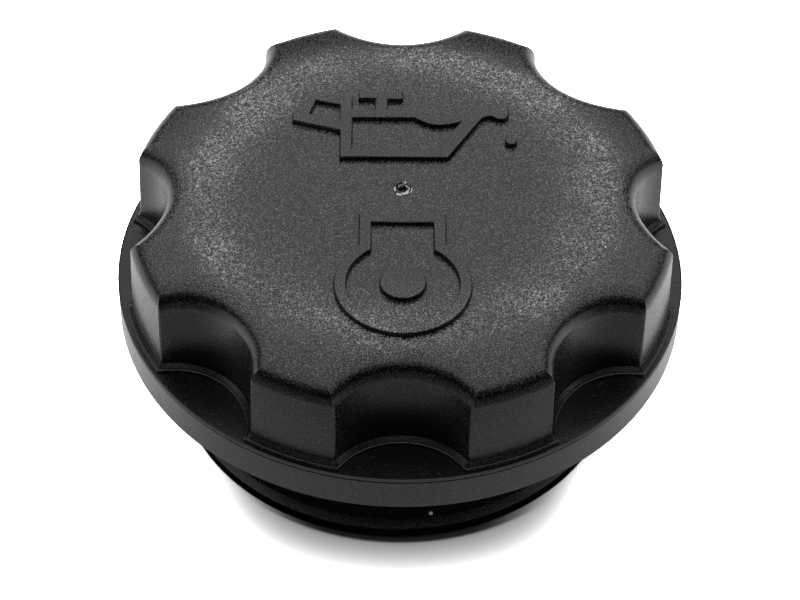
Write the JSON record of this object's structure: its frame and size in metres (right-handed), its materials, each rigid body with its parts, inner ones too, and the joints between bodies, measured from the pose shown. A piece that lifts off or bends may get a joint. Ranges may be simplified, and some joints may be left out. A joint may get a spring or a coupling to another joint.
{
  "type": "oil filler cap",
  "caption": "Screw-on oil filler cap: a scalloped grip on a round flange, over a hollow neck with an outside thread and a flat sealing ring.",
  "frame": {"origin": "on the thread's axis, in the plane of the neck's foot", "axes": "+Z along the thread's axis, from the neck's foot to the grip's top; -Y towards the scallop at the front of the picture"},
  "size_m": [0.08, 0.08, 0.0384],
  "materials": {
    "body": "black glass-filled nylon with a fine moulded grain",
    "seal": "black oil-resistant rubber"
  },
  "bodies": {
    "root": {"cap_body": "body", "sealing_ring": "seal"}
  },
  "joints": []
}
